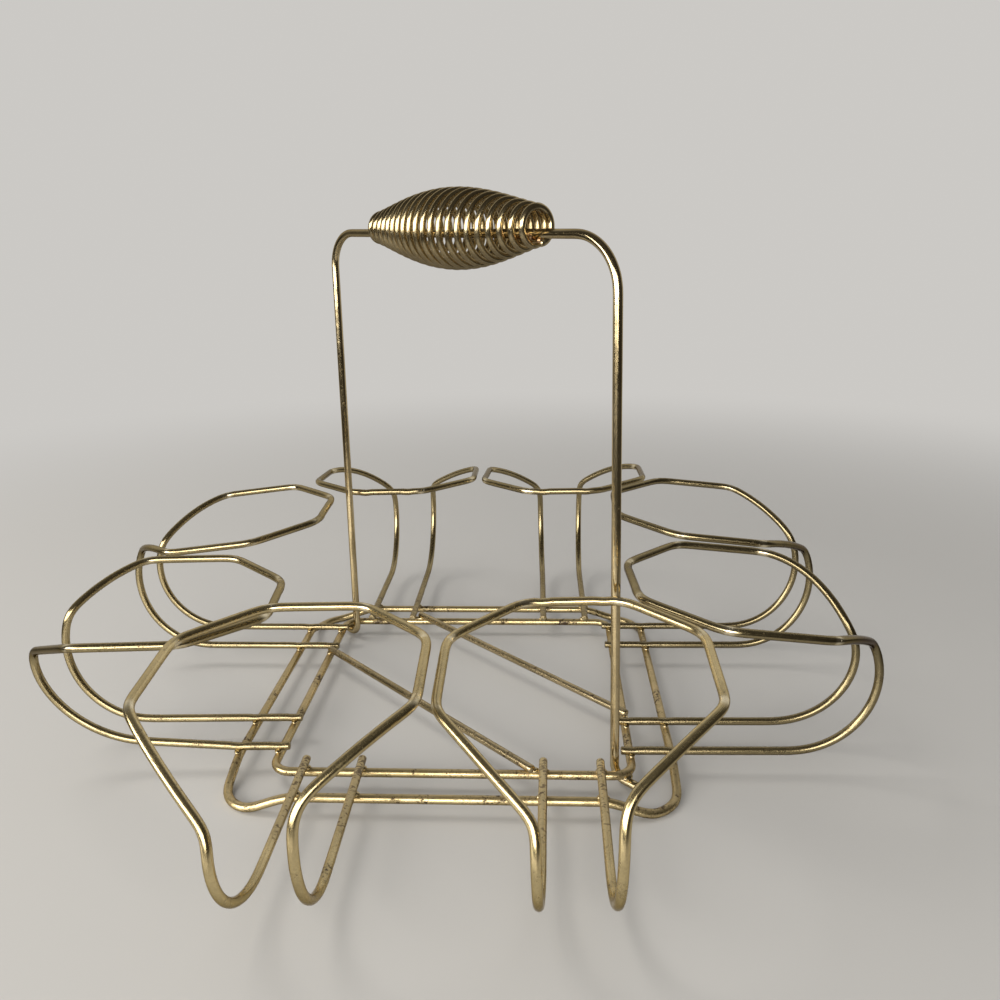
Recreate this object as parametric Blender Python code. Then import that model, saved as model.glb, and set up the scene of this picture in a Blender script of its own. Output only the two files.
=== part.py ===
"""Cocktail glass carrier: a brass wire caddy with eight tumbler holders round one carrying handle.

Lengths are in metres, +Z is up and the front is -Y. The origin is on the table, under the middle of
the base. All pieces are bent wire, welded where they cross; nothing on the carrier moves.
"""
import math

import bmesh
import bpy
from mathutils import Matrix, Vector

MM = 0.001

# Wires
FRAME_WIRE = 3.2 * MM           # both frames and the handle
HOLDER_WIRE = 3.0 * MM          # the glass holders and the two braces
GRIP_WIRE = 2.4 * MM            # the coil round the handle
WELD_GAP = 0.3 * MM             # left between two wires that touch

# Glass holders, two to a side. Rings nest at the corners along 45 degree edges
RING_WIDTH = 79.0 * MM          # between a ring's two side runs, wire centre to wire centre
RING_GAP = 2.6 * MM             # clear space between the two rings of one side
RING_CORNER_GAP = 5.8 * MM      # clear space between two rings where they nest at a corner
RING_INNER_EDGE = 33.0 * MM
RING_SIDE_RUN = 34.8 * MM
RING_OUTER_RUN = 24.0 * MM      # how far the two outer edges reach, measured outwards
RING_OUTER_RISE = 15.0 * MM     # how far they climb from the shoulders
RING_SIDE_RISE = 3.1 * MM       # how far the side runs climb inwards
RING_INNER_RISE = 0.7 * MM
LEG_SPACING = 20.2 * MM
LEG_OVERHANG = 3.7 * MM         # past the inner frame's rail
BELLY_RADIUS = 29.6 * MM
BELLY_SWEEP = math.radians(117.0)
SHOULDER_SPACING = 22.4 * MM
FIRST_SHOULDER_BEND = 5.0 * MM
SECOND_SHOULDER_BEND = 12.0 * MM
RING_OUTER_BEND = 5.0 * MM
RING_SIDE_BEND = 9.0 * MM
RING_INNER_BEND = 9.0 * MM
RING_BOW_OUT = 1.6 * MM         # how far the outer edges bow outwards at their middles
RING_BOW_RISE = 2.4 * MM        # how far they bow upwards there

# Base: an inner frame, and an outer frame whose corners dip to make four feet
LEG_TO_BEND = 5.1 * MM          # from a holder's leg to where the inner frame's corner starts
INNER_CORNER = 7.0 * MM
RAIL_SPACING = 15.1 * MM        # from the inner frame's wire to the outer frame's
OUTER_CORNER = 14.0 * MM
FOOT_RUN = 25.0 * MM            # along the wire, from the middle of a corner to the level rail
FOOT_LEVEL = 4.0 * MM           # along the wire, from the middle of a corner to where it rises
FOOT_WEAR = 0.3 * MM            # the flat worn under each foot
TOE_CLEARANCE = 1.2 * MM        # from the table up to the handle's toes
CUT_OVERRUN = 5.0 * MM

# Braces, side by side with the handle's diagonal
BRACE_GAP = 1.4 * MM            # clear space, along the rail, from a brace to the next leg
BRACE_OVERHANG = 1.2 * MM
BRACE_SLIP = 1.6 * MM           # how far the front left brace sits towards the front

# Handle, one bail along the diagonal from the back left corner to the front right corner
HANDLE_HEIGHT = 183.8 * MM      # top bar above the frames, wire centre to wire centre
HANDLE_INSET = 1.1 * MM         # from the end of the toe's bend to the inner frame's corner
HANDLE_BACK_LEAN = 2.7 * MM     # how much nearer the middle the back upright is at the top
HANDLE_FRONT_LEAN = 3.3 * MM
HANDLE_TILT = 2.5 * MM          # how much lower the top bar is at the front
HANDLE_BACK_BEND = 14.0 * MM
HANDLE_FRONT_BEND = 18.0 * MM
HANDLE_TOE_BEND = 4.5 * MM
HANDLE_TOE_REACH = 4.6 * MM     # past the inner frame's corner

# Grip, a barrel shaped coil brazed to the handle's top bar at both ends
GRIP_TURNS = 21
GRIP_PITCH = 4.38 * MM
GRIP_CLOSED_TURNS = 0.75        # at the front end, wound closer
GRIP_CLOSED_PITCH = 2.63 * MM
GRIP_SHIFT = 1.1 * MM           # how far the coil sits towards the front
GRIP_BACK_RADIUS = 5.1 * MM     # to the wire's centre, as the next two
GRIP_FRONT_RADIUS = 5.8 * MM
GRIP_BELLY_RADIUS = 13.35 * MM
GRIP_BELLY_SHIFT = 2.0 * MM     # how far the belly's middle sits towards the front
GRIP_RISE = 1.6 * MM            # how far the belly's middle stands above the bar
GRIP_FULLNESS = 1.2             # under 2 fills the barrel out towards its ends

# How finely the wires are drawn
WIRE_ROUNDNESS = 2
COIL_ROUNDNESS = 1
COIL_POINTS_PER_TURN = 10
BOW_STEPS = 6
BEND_STEP = math.radians(14.0)
FOOT_POINTS = 17

# Each side of the carrier, by how far it is turned from +X, with its first and second holder
SIDES = {"right": (0.0, ("front", "back")), "back": (90.0, ("right", "left")),
         "left": (180.0, ("back", "front")), "front": (270.0, ("left", "right"))}
HANDLE_TURN = -45.0

# Every holder was bent by hand. Degrees: the whole holder about the vertical, then its ring tipped
# up outwards, tipped up on its second side, and turned about the vertical.
HOLDER_TURNS = {
    "holder_front_left": (1.0, 0.0, 0.5, 0.5),
    "holder_front_right": (-0.5, -2.5, 1.5, 0.5),
    "holder_right_front": (1.0, -1.5, 0.5, 2.0),
    "holder_right_back": (0.5, -0.5, 1.0, -2.0),
    "holder_back_right": (0.5, 0.0, -1.0, -2.0),
    "holder_back_left": (0.0, -0.5, -0.5, 1.5),
    "holder_left_back": (0.0, -1.5, -1.5, 1.5),
    "holder_left_front": (2.0, 6.0, 0.0, 4.0),
}
# Shares of the belly radius: the holder moved sideways, its belly moved outwards, its first and
# second shoulder raised, and its ring raised.
HOLDER_SHIFT_SHARES = {
    "holder_front_left": (0.02, 0.12, -0.24, 0.03, 0.02),
    "holder_front_right": (0.02, -0.02, -0.20, 0.03, 0.0),
    "holder_right_front": (-0.04, -0.02, 0.0, -0.15, 0.0),
    "holder_right_back": (0.02, 0.0, 0.10, 0.07, 0.07),
    "holder_back_right": (-0.02, -0.02, 0.05, -0.04, 0.06),
    "holder_back_left": (-0.03, 0.02, 0.02, -0.08, 0.04),
    "holder_left_back": (0.07, 0.0, 0.0, 0.13, 0.0),
    "holder_left_front": (0.05, -0.02, 0.07, -0.04, -0.19),
}
# Shares of the bow that the first and second outer edge of each ring has.
RING_BOW_SHARES = {
    "holder_front_left": (1.1, 1.0),
    "holder_front_right": (1.0, 1.0),
    "holder_right_front": (0.45, 1.85),
    "holder_right_back": (0.55, 0.75),
    "holder_back_right": (1.35, 0.9),
    "holder_back_left": (0.65, 1.85),
    "holder_left_back": (1.0, 0.9),
    "holder_left_front": (0.75, 0.0),
}
# One second leg was pulled open: it climbs from the outer rail, its belly is larger and its shoulder
# sharper. Shares of the belly radius: growth, then its shoulder moved outwards and up.
OPENED_HOLDER = "holder_left_front"
OPENED_LEG_CLIMB = math.radians(4.0)
OPENED_LEG_SHARES = (0.15, 0.18, -0.27)
OPENED_SHOULDER_BEND = 4.0 * MM

# Places worked out from the sizes above
TOE_DEPTH = FRAME_WIRE + WELD_GAP
FRAME_HEIGHT = TOE_CLEARANCE + FRAME_WIRE / 2 + TOE_DEPTH
FOOT_DROP = FRAME_HEIGHT - FRAME_WIRE / 2 + FOOT_WEAR
REST_HEIGHT = FRAME_HEIGHT + (FRAME_WIRE + HOLDER_WIRE) / 2 + WELD_GAP
HOLDER_OFFSET = (RING_WIDTH + HOLDER_WIRE + RING_GAP) / 2
INNER_HALF = HOLDER_OFFSET + LEG_SPACING / 2 + LEG_TO_BEND + INNER_CORNER
OUTER_HALF = INNER_HALF + RAIL_SPACING
CORNER_REACH = INNER_HALF * math.sqrt(2) - INNER_CORNER * (math.sqrt(2) - 1)

# Places on a holder, outwards from the outer frame's rail
RING_SIDE_END = (HOLDER_OFFSET + RING_WIDTH / 2 + (HOLDER_WIRE + RING_CORNER_GAP) / math.sqrt(2)
                 - OUTER_HALF)
RING_SIDE_START = RING_SIDE_END + RING_SIDE_RUN
SHOULDER_REACH = RING_SIDE_START + RING_OUTER_RUN
SHOULDER_HEIGHT = BELLY_RADIUS * (1 - math.cos(BELLY_SWEEP))


def clear_scene():
    for thing in list(bpy.data.objects):
        bpy.data.objects.remove(thing, do_unlink=True)


def add_collection(name):
    collection = bpy.data.collections.new(name)
    bpy.context.scene.collection.children.link(collection)
    return collection


def brass(name, colour, roughness):
    material = bpy.data.materials.new(name)
    material.use_nodes = True
    shader = material.node_tree.nodes["Principled BSDF"]
    shader.inputs["Base Color"].default_value = (*colour, 1.0)
    shader.inputs["Metallic"].default_value = 1.0
    shader.inputs["Roughness"].default_value = roughness
    return material


def bend(before, corner, after, radius):
    """Points of the arc that rounds one corner of a wire."""
    back = (before - corner).normalized()
    ahead = (after - corner).normalized()
    turn = math.pi - back.angle(ahead)
    setback = radius * math.tan(turn / 2)
    start = corner + back * setback
    middle = corner + (back + ahead).normalized() * (radius / math.cos(turn / 2))
    axis = (-back).cross(ahead).normalized()
    steps = max(2, math.ceil(turn / BEND_STEP))
    return [middle + Matrix.Rotation(turn * step / steps, 3, axis) @ (start - middle)
            for step in range(steps + 1)]


def bent_wire(corners, radii, closed=False):
    """Points of a wire that runs straight between its corners; a radius of 0 keeps a point as it is."""
    points = []
    count = len(corners)
    for index, (corner, radius) in enumerate(zip(corners, radii)):
        at_end = not closed and index in (0, count - 1)
        if radius == 0 or at_end:
            points.append(corner)
            continue
        points += bend(corners[index - 1], corner, corners[(index + 1) % count], radius)
    return points


def add_wire(name, points, wire, material, carrier, closed=False, roundness=WIRE_ROUNDNESS):
    """A wire through points in its own frame, carried by the carrier's empty or by another wire."""
    curve = bpy.data.curves.new(name, "CURVE")
    curve.dimensions = "3D"
    curve.bevel_depth = wire / 2
    curve.bevel_resolution = roundness
    curve.use_fill_caps = not closed
    spline = curve.splines.new("POLY")
    spline.points.add(len(points) - 1)
    for place, point in zip(spline.points, points):
        place.co = (*point, 1.0)
    spline.use_cyclic_u = closed
    curve.materials.append(material)
    wire_object = bpy.data.objects.new(name, curve)
    wire_object.parent = carrier
    carrier.users_collection[0].objects.link(wire_object)
    return wire_object


def as_mesh(wire_object):
    """The same wire as a mesh object, so that it can be cut."""
    name = wire_object.name
    carrier = wire_object.parent
    bpy.context.view_layer.update()
    evaluated = wire_object.evaluated_get(bpy.context.evaluated_depsgraph_get())
    mesh = bpy.data.meshes.new_from_object(evaluated)
    welded = bmesh.new()
    welded.from_mesh(mesh)
    bmesh.ops.remove_doubles(welded, verts=welded.verts, dist=WELD_GAP / 100)
    welded.to_mesh(mesh)
    welded.free()
    place = wire_object.matrix_world.copy()
    bpy.data.objects.remove(wire_object, do_unlink=True)
    mesh_object = bpy.data.objects.new(name, mesh)
    mesh_object.parent = carrier
    mesh_object.matrix_world = place
    carrier.users_collection[0].objects.link(mesh_object)
    return mesh_object


def add_floor_cutter(cutters):
    """A slab under the table's level, which cuts the worn flats under the feet."""
    width = 2 * (OUTER_HALF + FRAME_WIRE + CUT_OVERRUN)
    box = bmesh.new()
    bmesh.ops.create_cube(box, size=1.0)
    bmesh.ops.scale(box, vec=(width, width, CUT_OVERRUN), verts=box.verts)
    bmesh.ops.translate(box, vec=(0.0, 0.0, -CUT_OVERRUN / 2), verts=box.verts)
    mesh = bpy.data.meshes.new("floor_cutter")
    box.to_mesh(mesh)
    box.free()
    cutter = bpy.data.objects.new("floor_cutter", mesh)
    cutter.hide_render = True
    cutter.display_type = "WIRE"
    cutters.objects.link(cutter)
    return cutter


def add_inner_frame(carrier, material):
    corners = [Vector((x * INNER_HALF, y * INNER_HALF, 0.0))
               for x, y in ((-1, -1), (1, -1), (1, 1), (-1, 1))]
    points = bent_wire(corners, [INNER_CORNER] * 4, closed=True)
    frame = add_wire("inner_frame", points, FRAME_WIRE, material, carrier, closed=True)
    frame.location.z = FRAME_HEIGHT


def foot_dip(along):
    """Drop of the outer frame's wire, at a distance along it from the middle of a corner."""
    share = (FOOT_RUN - abs(along)) / (FOOT_RUN - FOOT_LEVEL)
    share = min(1.0, max(0.0, share))
    return FOOT_DROP * share * share * (3 - 2 * share)


def foot_point(along):
    """A point of the front left corner, which runs from the left rail to the front rail."""
    half_arc = OUTER_CORNER * math.pi / 4
    turn = max(-half_arc, min(half_arc, along)) / OUTER_CORNER
    beyond = along - turn * OUTER_CORNER
    heading = math.radians(-45.0) + turn
    centre = OUTER_CORNER - OUTER_HALF
    x = centre + OUTER_CORNER * math.sin(heading)
    y = centre - OUTER_CORNER * math.cos(heading)
    x += beyond * math.cos(heading)
    y += beyond * math.sin(heading)
    return Vector((x, y, -foot_dip(along)))


def add_outer_frame(carrier, cutter, material):
    stations = [FOOT_RUN * (2 * step / (FOOT_POINTS - 1) - 1) for step in range(FOOT_POINTS)]
    points = []
    for quarter in range(4):
        turned = Matrix.Rotation(math.radians(90.0) * quarter, 3, "Z")
        points += [turned @ foot_point(along) for along in stations]
    wire = add_wire("outer_frame", points, FRAME_WIRE, material, carrier, closed=True)
    wire.location.z = FRAME_HEIGHT
    frame = as_mesh(wire)
    flats = frame.modifiers.new("worn_flats", "BOOLEAN")
    flats.operation = "DIFFERENCE"
    flats.solver = "EXACT"
    flats.object = cutter


def add_braces(carrier, material):
    leg = HOLDER_OFFSET - LEG_SPACING / 2
    meet = leg - BRACE_GAP - HOLDER_WIRE / 2 - HOLDER_WIRE / math.sqrt(2)
    from_middle = (INNER_HALF - meet) / math.sqrt(2)
    reach = (INNER_HALF + meet) / math.sqrt(2) + BRACE_OVERHANG
    for name, side, slip in (("brace_front_left", -1, BRACE_SLIP), ("brace_back_right", 1, 0.0)):
        ends = [Vector((slip - reach, 0.0, 0.0)), Vector((slip + reach, 0.0, 0.0))]
        brace = add_wire(name, ends, HOLDER_WIRE, material, carrier)
        brace.rotation_euler.z = math.radians(HANDLE_TURN)
        brace.location = (brace.rotation_euler.to_matrix() @ Vector((0.0, side * from_middle, 0.0))
                          + Vector((0.0, 0.0, REST_HEIGHT)))


def handle_corners():
    """The handle's toe, foot and top corner on each side: along the diagonal, and up from the frames."""
    foot = CORNER_REACH - HANDLE_INSET - HANDLE_TOE_BEND
    toe = CORNER_REACH + HANDLE_TOE_REACH
    return [(-toe, -TOE_DEPTH), (-foot, -TOE_DEPTH),
            (HANDLE_BACK_LEAN - foot, HANDLE_HEIGHT + HANDLE_TILT / 2),
            (foot - HANDLE_FRONT_LEAN, HANDLE_HEIGHT - HANDLE_TILT / 2),
            (foot, -TOE_DEPTH), (toe, -TOE_DEPTH)]


def add_handle(carrier, material):
    corners = [Vector((along, 0.0, height)) for along, height in handle_corners()]
    radii = [0, HANDLE_TOE_BEND, HANDLE_BACK_BEND, HANDLE_FRONT_BEND, HANDLE_TOE_BEND, 0]
    handle = add_wire("handle", bent_wire(corners, radii), FRAME_WIRE, material, carrier)
    handle.rotation_euler.z = math.radians(HANDLE_TURN)
    handle.location.z = FRAME_HEIGHT
    return handle


def coil_place(turn):
    """Where a turn of the coil lies along the top bar, counted from the back end."""
    closed = max(0.0, turn - GRIP_TURNS + GRIP_CLOSED_TURNS)
    return GRIP_SHIFT + GRIP_PITCH * (turn - closed - GRIP_TURNS / 2) + GRIP_CLOSED_PITCH * closed


def grip_points():
    """The coil's centre line, wound left-handed from under the back end of the top bar."""
    first, last = handle_corners()[2:4]
    slope = (last[1] - first[1]) / (last[0] - first[0])
    points = []
    for step in range(GRIP_TURNS * COIL_POINTS_PER_TURN + 1):
        along = coil_place(step / COIL_POINTS_PER_TURN)
        from_belly = along - GRIP_BELLY_SHIFT
        end = coil_place(0 if from_belly < 0 else GRIP_TURNS) - GRIP_BELLY_SHIFT
        belly = max(0.0, math.cos(math.pi / 2 * from_belly / end))
        tip = GRIP_BACK_RADIUS if from_belly < 0 else GRIP_FRONT_RADIUS
        radius = tip + (GRIP_BELLY_RADIUS - tip) * belly ** GRIP_FULLNESS
        seat = tip - (GRIP_WIRE + FRAME_WIRE) / 2 - WELD_GAP
        middle = first[1] + slope * (along - first[0]) + seat * (1 - belly) + GRIP_RISE * belly
        angle = 2 * math.pi * step / COIL_POINTS_PER_TURN
        points.append(Vector((along, -radius * math.sin(angle), middle - radius * math.cos(angle))))
    return points


def least_gap(points, wire, apart):
    """The smallest space between stretches of one wire that are at least so many points apart."""
    return min((a - b).length for i, a in enumerate(points) for b in points[i + apart:]) - wire


def add_grip(handle, material):
    points = grip_points()
    add_wire("grip", points, GRIP_WIRE, material, handle, roundness=COIL_ROUNDNESS)
    gap = least_gap(points, GRIP_WIRE, COIL_POINTS_PER_TURN // 2)
    print(f"grip: {GRIP_TURNS} turns, least gap to itself {gap / MM:.2f} mm")


def tipped(turns):
    """Rotation of a ring, from the degrees it tips outwards, tips sideways and turns."""
    tip, roll, twist = (math.radians(degrees) for degrees in turns)
    return (Matrix.Rotation(roll, 3, "X") @ Matrix.Rotation(-tip, 3, "Y")
            @ Matrix.Rotation(twist, 3, "Z"))


def leg_points(side, reach, rise, growth=0.0, climb=0.0):
    """A holder's leg from over the inner frame, outwards and round the belly to the shoulder."""
    radius = BELLY_RADIUS * (1 + growth)
    sweep = math.acos(1 - SHOULDER_HEIGHT / radius)
    belly_start = SHOULDER_REACH - radius * math.sin(sweep)
    leaning = Matrix.Rotation(-climb, 3, "Y")
    points = [Vector((out, side * LEG_SPACING / 2, 0.0)) for out in (-RAIL_SPACING - LEG_OVERHANG, 0.0)]
    steps = math.ceil(sweep / BEND_STEP)
    for step in range(steps + 1):
        share = step / steps
        angle = sweep * share
        out = belly_start + radius * math.sin(angle) + reach * share ** 2
        spread = LEG_SPACING + (SHOULDER_SPACING - LEG_SPACING) * share
        up = radius * (1 - math.cos(angle)) + rise * share ** 2
        points.append(leaning @ Vector((out, side * spread / 2, up)))
    return points


def ring_half():
    """The three bends of a ring's second side, outermost first, each with its radius."""
    half = RING_WIDTH / 2
    half_edge = RING_INNER_EDGE / 2
    up = SHOULDER_HEIGHT + RING_OUTER_RISE
    return [(Vector((RING_SIDE_START, half, up)), RING_OUTER_BEND),
            (Vector((RING_SIDE_END, half, up + RING_SIDE_RISE)), RING_SIDE_BEND),
            (Vector((RING_SIDE_END - half + half_edge, half_edge,
                     up + RING_SIDE_RISE + RING_INNER_RISE)), RING_INNER_BEND)]


def bowed_edge(shoulder, side_start, share):
    """Points between a shoulder and the start of a ring's side run."""
    edge = side_start - shoulder
    outwards = Vector((abs(edge.y), -edge.x * math.copysign(1, edge.y), 0.0)).normalized()
    bow = share * (RING_BOW_OUT * outwards + Vector((0.0, 0.0, RING_BOW_RISE)))
    return [shoulder + edge * step / BOW_STEPS + bow * 4 * step * (BOW_STEPS - step) / BOW_STEPS ** 2
            for step in range(1, BOW_STEPS)]


def ring_bends(reach, rise, turns):
    """The six bends of a ring, from its first side round to its second, each with its radius."""
    half = ring_half()
    mirrored = [(Vector((bend_at.x, -bend_at.y, bend_at.z)), radius) for bend_at, radius in half]
    middle = Vector((RING_SIDE_END, 0.0, half[1][0].z))
    lift = Vector((reach, 0.0, rise))
    rotation = tipped(turns)
    return [(rotation @ (bend_at - middle) + middle + lift, radius)
            for bend_at, radius in mirrored + half[::-1]]


def holder_points(name):
    """One wire: up the first leg, round the ring and down the second leg."""
    reach, first_rise, second_rise, ring_rise = (BELLY_RADIUS * share
                                                 for share in HOLDER_SHIFT_SHARES[name][1:])
    growth, climb, second_reach, second_bend = 0.0, 0.0, reach, SECOND_SHOULDER_BEND
    if name == OPENED_HOLDER:
        growth, *moves = OPENED_LEG_SHARES
        climb = OPENED_LEG_CLIMB
        second_reach, second_rise = (BELLY_RADIUS * share for share in moves)
        second_bend = OPENED_SHOULDER_BEND
    first_leg = leg_points(-1, reach, first_rise)
    second_leg = leg_points(1, second_reach, second_rise, growth, climb)[::-1]
    ring = ring_bends(reach, ring_rise, HOLDER_TURNS[name][1:])
    first_share, second_share = RING_BOW_SHARES[name]
    first_edge = bowed_edge(first_leg[-1], ring[0][0], first_share)
    second_edge = bowed_edge(second_leg[0], ring[-1][0], second_share)[::-1]
    corners = first_leg + first_edge + [bend_at for bend_at, _ in ring] + second_edge + second_leg
    radii = [0] * (len(first_leg) - 1) + [FIRST_SHOULDER_BEND] + [0] * len(first_edge)
    radii += [radius for _, radius in ring]
    radii += [0] * len(second_edge) + [second_bend] + [0] * (len(second_leg) - 1)
    return bent_wire(corners, radii)


def add_holder(name, facing, sideways, carrier, material):
    holder = add_wire(name, holder_points(name), HOLDER_WIRE, material, carrier)
    holder.rotation_euler.z = math.radians(facing + HOLDER_TURNS[name][0])
    around = Matrix.Rotation(math.radians(facing), 3, "Z")
    aside = BELLY_RADIUS * HOLDER_SHIFT_SHARES[name][0]
    holder.location = around @ Vector((OUTER_HALF, sideways + aside, REST_HEIGHT))


def add_holders(carrier, material):
    for side, (facing, places) in SIDES.items():
        add_holder(f"holder_{side}_{places[0]}", facing, -HOLDER_OFFSET, carrier, material)
        add_holder(f"holder_{side}_{places[1]}", facing, HOLDER_OFFSET, carrier, material)


def main():
    clear_scene()
    parts = add_collection("cocktail_glass_carrier")
    cutters = add_collection("cutters")
    carrier = bpy.data.objects.new("carrier", None)
    parts.objects.link(carrier)
    frame_brass = brass("frame_brass", (0.60, 0.47, 0.24), 0.28)
    handle_brass = brass("handle_brass", (0.62, 0.50, 0.27), 0.22)
    grip_brass = brass("grip_brass", (0.66, 0.52, 0.27), 0.18)
    holder_brass = brass("holder_brass", (0.63, 0.51, 0.28), 0.24)
    brace_brass = brass("brace_brass", (0.58, 0.45, 0.24), 0.30)
    add_inner_frame(carrier, frame_brass)
    add_outer_frame(carrier, add_floor_cutter(cutters), frame_brass)
    add_braces(carrier, brace_brass)
    handle = add_handle(carrier, handle_brass)
    add_grip(handle, grip_brass)
    add_holders(carrier, holder_brass)


main()
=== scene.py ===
# A brass plated wire carrier for eight tumblers, with its finish, lights and camera
import math
import random

import bmesh
import bpy
from mathutils import Matrix, Vector, noise


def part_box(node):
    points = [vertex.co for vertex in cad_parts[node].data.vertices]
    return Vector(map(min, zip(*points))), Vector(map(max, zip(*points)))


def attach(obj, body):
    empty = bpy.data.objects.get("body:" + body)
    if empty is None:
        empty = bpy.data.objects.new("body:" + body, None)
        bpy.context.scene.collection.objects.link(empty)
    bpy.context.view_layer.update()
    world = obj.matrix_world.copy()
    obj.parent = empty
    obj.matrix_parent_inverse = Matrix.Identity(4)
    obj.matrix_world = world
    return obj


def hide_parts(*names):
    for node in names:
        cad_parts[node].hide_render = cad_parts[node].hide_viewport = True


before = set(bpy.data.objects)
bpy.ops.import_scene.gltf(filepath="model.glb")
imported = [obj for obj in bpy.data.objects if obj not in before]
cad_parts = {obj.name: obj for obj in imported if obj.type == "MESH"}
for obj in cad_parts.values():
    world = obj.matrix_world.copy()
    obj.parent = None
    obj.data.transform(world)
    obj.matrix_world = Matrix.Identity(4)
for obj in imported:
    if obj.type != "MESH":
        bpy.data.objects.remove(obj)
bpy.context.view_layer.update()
mm = 0.001

# the camera stands where the photograph was taken from, looking a little left and down
cameraLook = {
    "place": (33.6 * mm, -335.5 * mm, 188.7 * mm),
    "turnLeft": 3.006,     # degrees, as the next two
    "lookDown": 16.63,
    "roll": 1.012,
    "lens": 31.757,
    "sensor": 36.0,
    "nearest": 20 * mm,
}


def makeCamera(look):
    lens = bpy.data.cameras.new("photoCamera")
    lens.lens = look["lens"]
    lens.sensor_fit = "HORIZONTAL"
    lens.sensor_width = look["sensor"]
    lens.clip_start = look["nearest"]
    camera = bpy.data.objects.new("photoCamera", lens)
    bpy.context.scene.collection.objects.link(camera)
    turn = (Matrix.Rotation(math.radians(look["turnLeft"]), 4, "Z")
            @ Matrix.Rotation(math.radians(90 - look["lookDown"]), 4, "X")
            @ Matrix.Rotation(math.radians(-look["roll"]), 4, "Z"))
    camera.matrix_world = Matrix.Translation(look["place"]) @ turn
    bpy.context.scene.camera = camera
    print("camera set")


makeCamera(cameraLook)

# how finely a wire is drawn, and how its cut ends are rounded over
wireDetail = {
    "bendStep": 6.0,             # degrees of a bend between two rings of vertices
    "ringSpacing": 1.5 * mm,     # along the wire
    "sides": 18,
    "endRound": 0.45 * mm,
    "endSteps": 3,
    "easing": 6,                 # how often a hand-bent path is evened out
}


def turnAt(before, corner, after):
    return math.pi - (before - corner).angle(after - corner)


def roundCorner(before, corner, after, radius):
    # points along the arc that rounds one corner of a path
    back = (before - corner).normalized()
    ahead = (after - corner).normalized()
    turn = turnAt(before, corner, after)
    start = corner + back * (radius * math.tan(turn / 2))
    middle = corner + (back + ahead).normalized() * (radius / math.cos(turn / 2))
    axis = (-back).cross(ahead).normalized()
    steps = max(2, math.ceil(math.degrees(turn) / wireDetail["bendStep"]))
    return [middle + Matrix.Rotation(turn * step / steps, 3, axis) @ (start - middle)
            for step in range(steps + 1)]


def bentPath(corners, radii, closed=False):
    # a radius of 0 keeps that point as it is, unless the bend beside it reaches over it
    points = []
    resume = 0
    for index, (corner, radius) in enumerate(zip(corners, radii)):
        if index < resume:
            continue
        atEnd = not closed and index in (0, len(corners) - 1)
        if radius == 0 or atEnd:
            points.append(corner)
            continue
        before, after = index - 1, (index + 1) % len(corners)
        setback = radius * math.tan(turnAt(corners[before], corner, corners[after]) / 2)
        while before > 0 and radii[before] == 0 and (corners[before] - corner).length < setback:
            before -= 1
            points.pop()
        while radii[after] == 0 and (corners[after] - corner).length < setback:
            after += 1
        points += roundCorner(corners[before], corner, corners[after], radius)
        resume = after
    return points


def filledPath(points, closed=False):
    # the same path with its points evenly spaced
    ends = points[1:] + points[:1] if closed else points[1:]
    runs = [(end - start).length for start, end in zip(points, ends)]
    steps = math.ceil(sum(runs) / wireDetail["ringSpacing"])
    filled = []
    passed, run = 0.0, 0
    for step in range(steps):
        wanted = sum(runs) * step / steps
        while passed + runs[run] < wanted:
            passed += runs[run]
            run += 1
        filled.append(points[run].lerp(ends[run], (wanted - passed) / runs[run]))
    return filled if closed else filled + [points[-1]]


def easedPath(points):
    # evens out an open path, as a wire bent by hand has no sudden change of curve
    for _ in range(wireDetail["easing"]):
        middles = [(before + after) / 2 for before, after in zip(points, points[2:])]
        inner = [(point + middle) / 2 for point, middle in zip(points[1:-1], middles)]
        points = points[:1] + inner + points[-1:]
    return points


def wireFrames(points, closed=False):
    # one matrix for each point, with Z along the wire and as little twist as possible
    count = len(points)
    headings = []
    for index in range(count):
        back = points[index] - points[index - 1]
        ahead = points[(index + 1) % count] - points[index]
        if not closed and index == 0:
            back = ahead
        if not closed and index == count - 1:
            ahead = back
        headings.append((back.normalized() + ahead.normalized()).normalized())
    sideways = headings[0].orthogonal().normalized()
    turned = [sideways]
    for before, after in zip(headings, headings[1:]):
        turned.append(before.rotation_difference(after) @ turned[-1])
    spin = 0.0
    if closed:  # what the last ring is twisted against the first is shared out along the wire
        arrived = headings[-1].rotation_difference(headings[0]) @ turned[-1]
        spin = math.atan2(arrived.cross(sideways).dot(headings[0]), arrived.dot(sideways))
    frames = []
    for index, (point, heading, across) in enumerate(zip(points, headings, turned)):
        across = Matrix.Rotation(spin * index / count, 3, heading) @ across
        upwards = heading.cross(across)
        turn = Matrix((across, upwards, heading)).transposed()
        frames.append(Matrix.Translation(point) @ turn.to_4x4())
    return frames


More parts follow.
